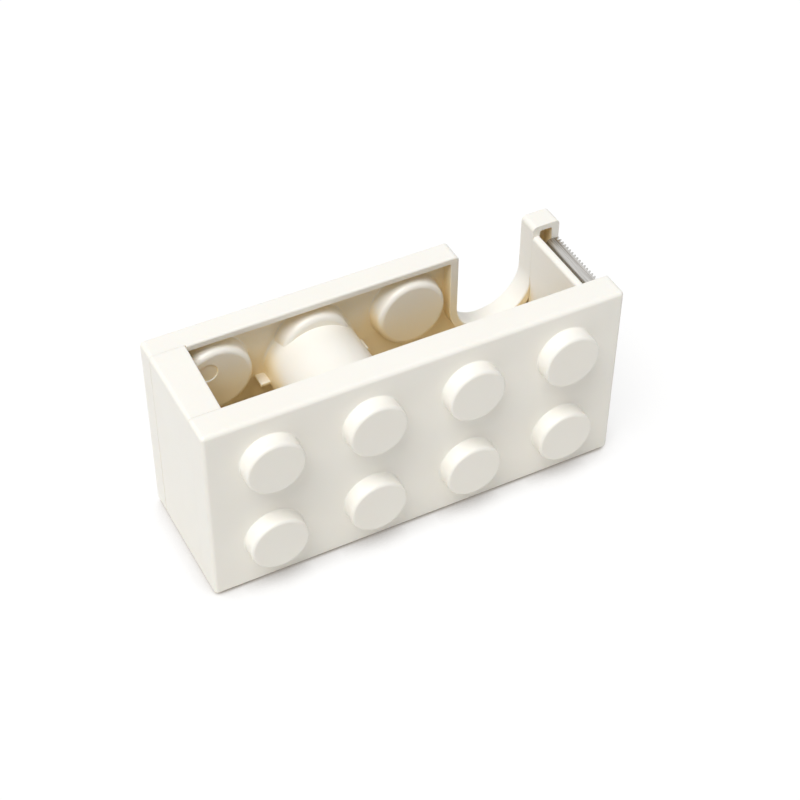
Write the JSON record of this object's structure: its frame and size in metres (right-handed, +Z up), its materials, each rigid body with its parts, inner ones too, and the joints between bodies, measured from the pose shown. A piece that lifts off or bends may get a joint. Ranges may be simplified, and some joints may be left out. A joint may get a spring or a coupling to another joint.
{
  "type": "desk tape dispenser",
  "caption": "Desk tape dispenser shaped like a two-by-four building brick, with an open roll bay, a fixed hub on a pull-off rear shell and a toothed steel cutter.",
  "frame": {"origin": "under the middle of the object's box, on the surface that the foot pads stand on", "axes": "+X towards the cutter end, +Y towards the rear shell (the studs face -Y), +Z up"},
  "size_m": [0.112, 0.0412, 0.0547],
  "materials": {
    "cream_abs": "fine satin moulded ABS, off-white",
    "blade_steel": "bright rolled strip, lightly brushed along its length",
    "plated_steel": "zinc plated",
    "pad_foam": "matt closed-cell foam"
  },
  "bodies": {
    "casing": {"front_cover": "cream_abs", "casing_frame": "cream_abs", "cutter_blade": "blade_steel", "ballast_plate": "plated_steel", "foot_pad_1": "pad_foam", "foot_pad_2": "pad_foam", "foot_pad_3": "pad_foam", "foot_pad_4": "pad_foam", "case_screw_1": "plated_steel", "case_screw_2": "plated_steel", "case_screw_3": "plated_steel", "case_screw_4": "plated_steel"},
    "rear_shell": {"rear_shell": "cream_abs"}
  },
  "joints": [
    {"name": "rear_shell_pull", "type": "slide", "parent": "casing", "child": "rear_shell", "axis": [0, 1, 0], "range_m": [0, 0.034]}
  ]
}
